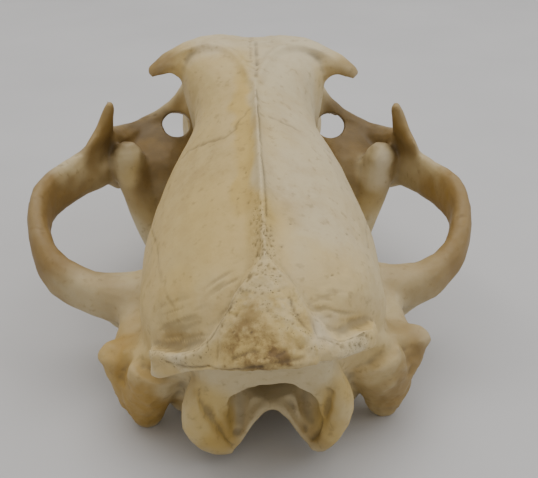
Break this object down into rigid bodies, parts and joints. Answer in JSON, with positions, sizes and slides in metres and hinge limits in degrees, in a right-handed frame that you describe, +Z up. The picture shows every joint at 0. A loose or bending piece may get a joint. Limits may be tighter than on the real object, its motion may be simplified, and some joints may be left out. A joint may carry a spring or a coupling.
{
  "type": "leopard skull",
  "caption": "Life-size leopard cranium without its lower jaw, resting on its long canines and on the processes beside its condyles.",
  "frame": {"origin": "centre of the bounding box at its lowest face, the surface that the skull rests on", "axes": "+Z is up; the face points to -Y and the back of the head to +Y; +X is the skull's own left"},
  "size_m": [0.1478, 0.2286, 0.0988],
  "materials": {
    "braincase": "matt dry bone, cream with warm patches",
    "forehead": "matt dry bone, cream",
    "muzzle": "matt dry bone, cream, with ivory front teeth",
    "upper_jaw": "matt dry bone, olive brown, with ivory cheek teeth",
    "zygomatic_arch_left": "satin bone, olive ochre",
    "zygomatic_arch_right": "satin bone, olive ochre",
    "ear_left": "matt bone, strong ochre stain",
    "ear_right": "matt bone, pale ochre stain",
    "skull_base": "matt dry bone",
    "occiput": "rough, chalky, pitted bone with brown stains",
    "canine_left": "ivory enamel",
    "canine_right": "ivory enamel"
  },
  "bodies": {
    "root": {"braincase": "braincase", "forehead": "forehead", "muzzle": "muzzle", "upper_jaw": "upper_jaw", "zygomatic_arch_left": "zygomatic_arch_left", "zygomatic_arch_right": "zygomatic_arch_right", "ear_left": "ear_left", "ear_right": "ear_right", "skull_base": "skull_base", "occiput": "occiput", "canine_left": "canine_left", "canine_right": "canine_right"}
  },
  "joints": []
}
